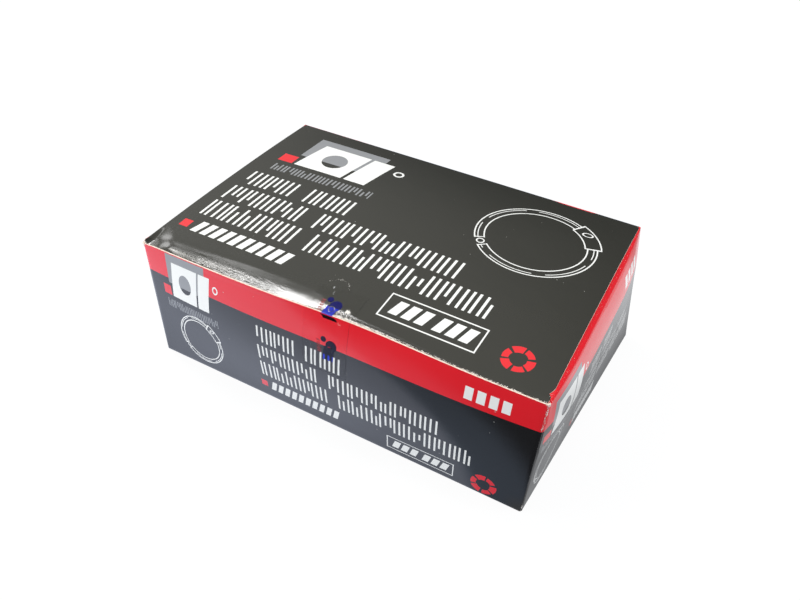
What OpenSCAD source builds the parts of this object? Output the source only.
// Printed card carton with a tuck-in lid, packed full and sealed with one strip of clear tape.
// One blank of card, folded and locked: four walls, a lid hinged on the back wall, a flap at
// each end under the lid, and a snap-lock bottom. X runs along the front, Y to the back, Z up.

/* [Carton] */
// Width from end wall to end wall, along the front
carton_width = 160; // [120:1:220]
// Depth from the front wall to the back wall
carton_depth = 106; // [90:1:140]
// Height of the walls
carton_height = 55; // [40:1:80]
// Thickness of the card
card = 0.5; // [0.4:0.05:0.7]

/* [Folds] */
// Outside radius of the upright corner folds
corner_fold = 1.2; // [1:0.1:2]
// Outside radius of the folds round the bottom
foot_fold = 1; // [0.6:0.1:1.4]
// Outside radius of the folds over the end walls
end_fold = 1.1; // [0.8:0.1:1.4]
// Outside radius of the lid's hinge fold on the back wall
hinge_fold = 1.4; // [1:0.1:2]
// Width of the lid's front fold at its right end, where it is tight
tight_fold = 0.8; // [0.7:0.1:2]
// Width of the same fold beside the tape, where the lid slopes softly down to it
soft_fold = 8.2; // [2:0.1:10]

/* [Lid] */
// Distance from a front corner to the lid's cut edge, which is straight
lid_inset_front = 0.75; // [0.5:0.05:1.5]
// Distance from a back corner to that edge
lid_inset_back = 0.35; // [0.3:0.05:1.5]
// Depth of the front wall's raw edge below the lid's folds, at the left
lip_drop_left = 0.6; // [0.3:0.05:1.2]
// Depth of that edge at the right, where it stands level with the lid
lip_drop_right = -0.05; // [-0.1:0.05:1.2]
// Depth of the gap between that edge and the lid's fold
gap_depth = 2.4; // [1.8:0.1:3]
// Distance of the notch in each of the lid's cut edges from the front corner
notch_start = 3.4; // [2.6:0.1:5]
// Length of the notch
notch_length = 3.8; // [3:0.1:8]
// Depth of the notch into the lid
notch_depth = 1.3; // [0.6:0.1:2]

/* [Swelling from the contents] */
// Outward swell of the front and back walls
wall_swell = 2.8; // [0:0.1:4]
// Outward swell of the end walls
end_swell = 2.6; // [0:0.1:4]
// Outward swell of the folds over the end walls
end_top_swell = 1.1; // [0:0.1:1.5]
// Inward pull of the front edge where the tape holds it
tape_pull = 1.8; // [0:0.1:2]
// Rise of the lid's middle over its folds
lid_crown = 2.6; // [0:0.1:4]
// Rise of the lid's cut edges, midway along each end
lid_edge_crown = 1; // [0:0.1:1.5]

/* [Racked right end] */
// Shift of the bottom front corner, outward
rack_bottom_front = -1; // [-2:0.1:2]
// Shift of the bottom back corner, outward
rack_bottom_back = 2; // [-2:0.1:2]
// Shift of the top front corner, outward
rack_top_front = 1.5; // [-2:0.1:2]
// Shift of the top back corner, outward
rack_top_back = -3; // [-3:0.1:2]
// Shift of the top front corner to the back
rack_top_y = 0.5; // [0:0.1:1]

/* [Bottom] */
// Width of the locking flap where its tongue goes into the slot
tongue_width = 62; // [40:1:80]
// Reach of the locking flap past the bottom's middle
lock_reach = 10; // [6:1:16]
// Reach of the flaps that come from the end walls
side_flap_reach = 46; // [36:1:50]

/* [Tape] */
// Width of the tape
tape_width = 18; // [12:1:24]
// Length of tape on the lid
tape_on_lid = 12; // [8:1:25]
// Length of tape on the front wall
tape_on_front = 24; // [12:1:35]
// Place of the tape's middle along the front, from the carton's middle
tape_x = 1.5; // [-40:0.5:40]
// Thickness of the tape with its glue
tape_thick = 0.12; // [0.1:0.01:0.2]

/* [Hidden] */

board_colour = "#2b2f33";
tape_colour = "#c9d4dc";

half_w = carton_width / 2;
half_d = carton_depth / 2;

// Points along the front and back walls, places of the points along an end wall from the front,
// close together where the lid is notched, and steps round each corner. Levels up the walls as
// shares of their height, and how far the lid's rings have closed in on its middle.
front_points = 20;
end_places = [0, 0.008, 0.012, 0.018, 0.028, 0.055, 0.1, 0.2, 0.3, 0.4, 0.5, 0.6, 0.7, 0.8, 0.9, 1];
end_points = len(end_places) - 1;
corner_steps = 4;
wall_levels = [0.1, 0.25, 0.4, 0.5, 0.6, 0.7, 0.82, 0.92];
lid_rings = [0.93, 0.8, 0.6, 0.36, 0.12];

// Corners seen from above, in order: front left, front right, back right, back left.
bottom_corners = [
    [-half_w, -half_d],
    [half_w + rack_bottom_front, -half_d],
    [half_w + rack_bottom_back, half_d],
    [-half_w, half_d]
];
top_corners = [
    [-half_w, -half_d],
    [half_w + rack_top_front, -half_d + rack_top_y],
    [half_w + rack_top_back, half_d],
    [-half_w, half_d]
];
FRONT = 0;
RIGHT = 1;
BACK = 2;
LEFT = 3;
sides = [FRONT, RIGHT, BACK, LEFT];
outward = [[0, -1], [1, 0], [0, 1], [-1, 0]];

function mix(a, b, t) = a * (1 - t) + b * t;
function after(side) = (side + 1) % 4;
function before(side) = (side + 3) % 4;
function corner(i, v) = mix(bottom_corners[i], top_corners[i], v);

// Rises from 0 at both ends to 1 in the middle, with a plateau that n widens.
function plateau(t, n) = 1 - pow(abs(2 * t - 1), n);

// Rises from 0 at the bottom to 1 at the crest and back to 0 at the top.
function arch(v, crest) = sin(180 * pow(v, ln(0.5) / ln(crest)));

// Where each swell is highest, as a share of the wall's height, and how flat its plateau is.
wall_crest = 0.6;
end_crest = 0.7;
wall_plateau = 2.6;
end_plateau = 4;
lip_swell = 0.5;

// A bell round the tape, at t along the front, that draws the front edge in.
pull_middle = 0.57;
pull_spread = 0.2;
function pull(t) = tape_pull * exp(-pow((t - pull_middle) / pull_spread, 2)) * plateau(t, 8);

// How far a wall stands out at t along it and v up it.
function swell(side, t, v) =
    side == FRONT ? wall_swell * plateau(t, wall_plateau) * arch(v, wall_crest)
        + (lip_swell * plateau(t, 2) - pull(t)) * pow(v, 3)
    : side == BACK ? wall_swell * plateau(t, wall_plateau) * arch(v, wall_crest)
    : (end_swell * arch(v, end_crest) + end_top_swell * v) * plateau(t, end_plateau);

// The lid's height at a place seen from above: crowned between the front and hinge folds.
function lid_height(x, y) =
    let (across = plateau((y + half_d) / carton_depth, 2.2),
         along = plateau((x + half_w) / carton_width, 2.4))
    carton_height + max(0, across) * mix(lid_edge_crown, lid_crown, max(0, along));

// How soft the lid's front fold is, from 0 to 1, at shares of the length along the front.
softness = [
    [0, 0.51], [0.04, 0.62], [0.125, 0.73], [0.35, 1], [0.44, 0.92],
    [0.5, 0.57], [0.575, 0.13], [0.66, 0.01], [1, 0]
];
function soft(t) = lookup(t, softness);
function fold_width(t) = mix(tight_fold, soft_fold, soft(t));
function gap_width(t) = mix(0.08, 0.3, soft(t));
function lid_front(t) = card + gap_width(t);

// Depth of that fold at a distance behind its front: a wide slope and a tight bend.
slope_drop = [0.4, 1.25];
bend_reach = [0.55, 0.95];
function fold_depth(t, behind) =
    let (drop = mix(slope_drop[0], slope_drop[1], soft(t)),
         reach = mix(bend_reach[0], bend_reach[1], soft(t)))
    drop * pow(max(0, 1 - behind / fold_width(t)), 1.7)
        + (gap_depth - drop) * pow(max(0, 1 - behind / reach), 2.6);

// Depth of the front wall's raw edge: it dips at the left corner and climbs past the tape.
lip_dip = 0.5;
function lip_drop(t) = lookup(t, [
    [0, lip_drop_left + lip_dip],
    [0.04, lip_drop_left],
    [0.375, lip_drop_left - 0.1],
    [0.75, lip_drop_right + 0.15],
    [1, lip_drop_right]
]);

// Sections through the rim, one for each kind of wall, at t along it. A station is an inset, a
// depth under the lid's level and the share of the lid's crown that it rises with. All sections
// have the same number of stations, so that one skin joins them round the corners.
raw_edge = 0.06;
flap_drop = 0.45;
lid_land = 1.2;
last_station = 9;

// The front wall's raw edge, the gap behind it and the lid's fold.
function front_rim(t) =
    let (lip = lip_drop(t), front = lid_front(t))
    [
        [0, lip + 0.3, 0],
        [raw_edge, lip, 0],
        [card, lip, 0],
        [card, gap_depth, 0],
        [front - 0.03, gap_depth, 0],
        for (b = [0.06, 0.2, 0.45, 0.75, 1])
            let (behind = b * fold_width(t), depth = fold_depth(t, behind))
            [front + behind, depth, 1 - depth / gap_depth]
    ];
// How far the notch near the front draws the lid's cut edge in: steep in front, sloping behind.
function notch(distance) = lookup(distance, [
    [notch_start, 0],
    [notch_start + 1, notch_depth],
    [notch_start + notch_length, 0]
]);
// The dust flap's fold over an end wall, then the step up to the lid's cut edge. Next to the front
// corner the front wall's raw edge shows, where it wraps round.
wrap = 2.4;
function end_rim(side, t) =
    let (from_front = side == RIGHT ? t : 1 - t,
         distance = from_front * carton_depth,
         line = mix(lid_inset_front, lid_inset_back, from_front) + swell(side, t, 1),
         r = min(end_fold, line - 0.08),
         edge = line + notch(distance),
         lip = lip_drop(side == RIGHT ? 1 : 0))
    [
        each distance < wrap
            ? [[0, lip + 0.3, 0], [raw_edge, lip, 0], [0.4, lip, 0], [0.5, 1, 0], [0.6, 0.8, 0]]
            : [
                for (a = [0, 30, 60, 90]) [r * (1 - cos(a)), r * (1 - sin(a)), 0],
                [mix(r, edge, 0.8), flap_drop * 0.7, 0.6]
            ],
        [edge, flap_drop, 1],
        [edge, raw_edge, 1],
        [edge + raw_edge, 0, 1],
        [edge + lid_land, 0, 1],
        [edge + 2 * lid_land, 0, 1]
    ];
// The lid's hinge.
hinge_rim = [
    for (a = [0:15:90]) [hinge_fold * (1 - cos(a)), hinge_fold * (1 - sin(a)), sin(a)],
    for (i = [1:3]) [hinge_fold + lid_land * i / 3, 0, 1]
];

function columns(side) = side % 2 == 0 ? front_points : end_points;
function place(side, i) =
    side == RIGHT ? end_places[i]
    : side == LEFT ? 1 - end_places[end_points - i]
    : i / front_points;
rims = [
    for (s = sides)
        [for (i = [0:columns(s)])
            let (t = mix(0.015, 0.985, place(s, i)))
            s == FRONT ? front_rim(t) : s == BACK ? hinge_rim : end_rim(s, t)]
];

// The glued seam at the back left corner, as depths under the back wall's face and the left
// wall's: the back wall's raw edge stands over the tab that the left wall turns in behind it.
seam_corner = BACK;
seam = [[0, 0.25], [card, 0.25], [card + 0.2, 0.55]];

// A wall's points at v up it. Each has its own station; the two insets are those of the
// neighbouring walls where they meet this one.
function wall_row(side, v, stations, before_inset, after_inset, z) =
    let (a = corner(side, v),
         b = corner(after(side), v),
         n = columns(side),
         first = (corner_fold + before_inset) / norm(b - a),
         last = 1 - (corner_fold + after_inset) / norm(b - a))
    [for (i = [0:n])
        let (t = mix(first, last, place(side, i)),
             s = stations[i],
             p = mix(a, b, t) + outward[side] * (swell(side, t, v) - s[0]))
        [p.x, p.y, z - s[1] + s[2] * (lid_height(p.x, p.y) - carton_height)]];

// The points of the corner after a wall, without the two that end the walls' rows.
function corner_offset(side, i) =
    side == seam_corner ? seam[i - 1]
    : let (a = 90 * i / corner_steps) corner_fold * [1 - cos(a), 1 - sin(a)];
function corner_row(side, v, inset_a, inset_b, z_a, z_b) =
    let (c = corner(after(side), v))
    [for (i = [1:corner_steps - 1])
        let (o = corner_offset(side, i),
             p = c - outward[side] * (inset_a + o[0]) - outward[after(side)] * (inset_b + o[1]))
        [p.x, p.y, mix(z_a, z_b, i / corner_steps)]];

// One closed ring: each wall's row and the corner after it.
function first_of(list) = list[0];
function last_of(list) = list[len(list) - 1];
function ring(v, stations, z) =
    let (rows = [
        for (s = sides)
            wall_row(s, v, stations[s], last_of(stations[before(s)])[0], first_of(stations[after(s)])[0], z)
    ])
    [
        for (s = sides)
            let (a = last_of(stations[s])[0], b = first_of(stations[after(s)])[0],
                 z_a = last_of(rows[s]).z, z_b = first_of(rows[after(s)]).z)
            each concat(rows[s], corner_row(s, v, a, b, z_a, z_b))
    ];
function flat_ring(v, inset, z) =
    ring(v, [for (s = sides) [for (i = [0:columns(s)]) [inset, 0, 0]]], z);
function rim_ring(k) = ring(1, [for (s = sides) [for (rim = rims[s]) rim[k]]], carton_height);

foot_rings = [
    for (a = [0, 45, 90]) flat_ring(0, foot_fold * (1 - sin(a)), foot_fold * (1 - cos(a)))
];
wall_rings = [for (v = wall_levels) flat_ring(v, 0, v * carton_height)];
rim_rings = [for (k = [0:last_station]) rim_ring(k)];

// Inside its folds the lid is a crowned sheet: rings that close in on its middle.
crown_rings = [
    for (s = lid_rings)
        [for (p = rim_rings[last_station]) [p.x * s, p.y * s, lid_height(p.x * s, p.y * s)]]
];
skin = concat(foot_rings, wall_rings, rim_rings, crown_rings);

// Skins a stack of equal rings, and closes each end with a fan of faces round one point.
module loft(rings, low_point, high_point) {
    n = len(rings[0]);
    last = (len(rings) - 1) * n;
    low = len(rings) * n;
    high = low + 1;
    walls = [
        for (k = [0:len(rings) - 2], i = [0:n - 1])
            let (j = (i + 1) % n, a = k * n + i, b = k * n + j)
            each [[a, b + n, b], [a, a + n, b + n]]
    ];
    ends = [
        for (i = [0:n - 1])
            let (j = (i + 1) % n)
            each [[i, j, low], [last + j, last + i, high]]
    ];
    points = concat([for (r = rings) each r], [low_point, high_point]);
    polyhedron(points = points, faces = concat(walls, ends), convexity = 6);
}

// The snap-lock bottom, seen through the bottom: the locking flap from the front wall lies
// outermost, the end walls' flaps lie one card deeper, and the back wall's flap two.
margin = 2;
shoulder_y = -8;
ramp = 12;
cut = 1;

module locking_flap() {
    polygon([
        [-half_w, -half_d],
        [half_w, -half_d],
        [half_w - 2 * margin, shoulder_y],
        [tongue_width / 2, lock_reach],
        [-tongue_width / 2, lock_reach],
        [-half_w + 2 * margin, shoulder_y]
    ]);
}

module side_flaps() {
    for (turned = [0, 1])
        mirror([turned, 0, 0])
            polygon([
                [half_w, shoulder_y],
                [half_w, half_d - margin],
                [half_w - margin, half_d - margin],
                [half_w - side_flap_reach, shoulder_y]
            ]);
}

// A hollow that ramps up from the folds to its full depth, open below.
module hollow(depth) {
    x = half_w - margin;
    y = half_d - margin;
    intersection() {
        rotate([90, 0, 0])
            linear_extrude(carton_depth, center = true)
                polygon([[-x, -cut], [-x, 0], [ramp - x, depth], [x - ramp, depth], [x, 0], [x, -cut]]);
        rotate([90, 0, 90])
            linear_extrude(carton_width, center = true)
                polygon([[-y, -cut], [-y, depth], [y - ramp, depth], [y, 0], [y, -cut]]);
    }
}

module bottom_steps() {
    intersection() {
        hollow(card);
        linear_extrude(2 * cut, center = true)
            difference() {
                square([carton_width, carton_depth], center = true);
                locking_flap();
            }
    }
    intersection() {
        hollow(2 * card);
        linear_extrude(3 * cut, center = true)
            difference() {
                square([carton_width, carton_depth], center = true);
                locking_flap();
                side_flaps();
            }
    }
}

module packed_carton() {
    difference() {
        loft(skin, [0, 0, 0], [0, 0, lid_height(0, 0)]);
        bottom_steps();
    }
}

// The tape's path at one place along the front, as [y, z] on the skin: up the wall, over its
// raw edge, straight across to the lid's slope, and along the lid.
wall_stations = 6;
lid_stations = 6;
landing = 2.6;
function front_y(t, v) = mix(corner(0, v).y, corner(1, v).y, t) - swell(FRONT, t, v);
function along_front(x, v) = (x - corner(0, v).x) / (corner(1, v).x - corner(0, v).x);
function on_wall(x, z) =
    let (v = z / carton_height)
    [front_y(along_front(x, v), v), z];
function on_lid(x, behind) =
    let (t = along_front(x, 1),
         y = front_y(t, 1) + lid_front(t) + behind)
    [y, lid_height(x, y) - fold_depth(t, behind)];
function tape_path(x) =
    let (t = along_front(x, 1),
         edge = carton_height - lip_drop(t) - raw_edge,
         end = tape_on_lid - lid_front(t))
    concat(
        [for (i = [0:wall_stations]) on_wall(x, edge - tape_on_front * (1 - i / wall_stations))],
        [for (i = [0:lid_stations]) on_lid(x, mix(landing, end, i / lid_stations))]
    );

// The same path, moved off the skin along its own normals.
function moved(path, off) = [
    for (i = [0:len(path) - 1])
        let (d = path[min(i + 1, len(path) - 1)] - path[max(i - 1, 0)])
        path[i] + off / norm(d) * [-d.y, d.x]
];

// A thin sheet between two grids of points, rows first.
module sheet(outer, inner) {
    m = len(outer[0]);
    rows = len(outer);
    total = m * rows;
    grid = [
        for (r = [0:rows - 2], i = [0:m - 2])
            let (a = r * m + i, b = a + 1, c = a + m, d = c + 1)
            each [[a, b, d], [a, d, c], [total + a, total + d, total + b], [total + a, total + c, total + d]]
    ];
    long_edges = [
        for (r = [0:rows - 2], i = [0, m - 1])
            let (a = r * m + i, c = a + m, faces = [[a, c, total + c], [a, total + c, total + a]])
            each i == 0 ? faces : [for (f = faces) [f[0], f[2], f[1]]]
    ];
    short_edges = [
        for (r = [0, rows - 1], i = [0:m - 2])
            let (a = r * m + i, b = a + 1, faces = [[a, total + b, b], [a, total + a, total + b]])
            each r == 0 ? faces : [for (f = faces) [f[0], f[2], f[1]]]
    ];
    polyhedron(
        points = concat([for (r = outer) each r], [for (r = inner) each r]),
        faces = concat(grid, long_edges, short_edges),
        convexity = 4
    );
}

tape_rows = 6;
tape_sink = 0.15;
function tape_grid(off) = [
    for (i = [0:tape_rows])
        let (x = tape_x + tape_width * (i / tape_rows - 0.5))
        [for (p = moved(tape_path(x), off)) [x, p[0], p[1]]]
];

module carton() {
    color(board_colour)
        packed_carton();
}

module sealing_tape() {
    color(tape_colour)
        difference() {
            sheet(tape_grid(tape_thick), tape_grid(-tape_sink));
            loft(skin, [0, 0, 0], [0, 0, lid_height(0, 0)]);
        }
}

carton();
sealing_tape();
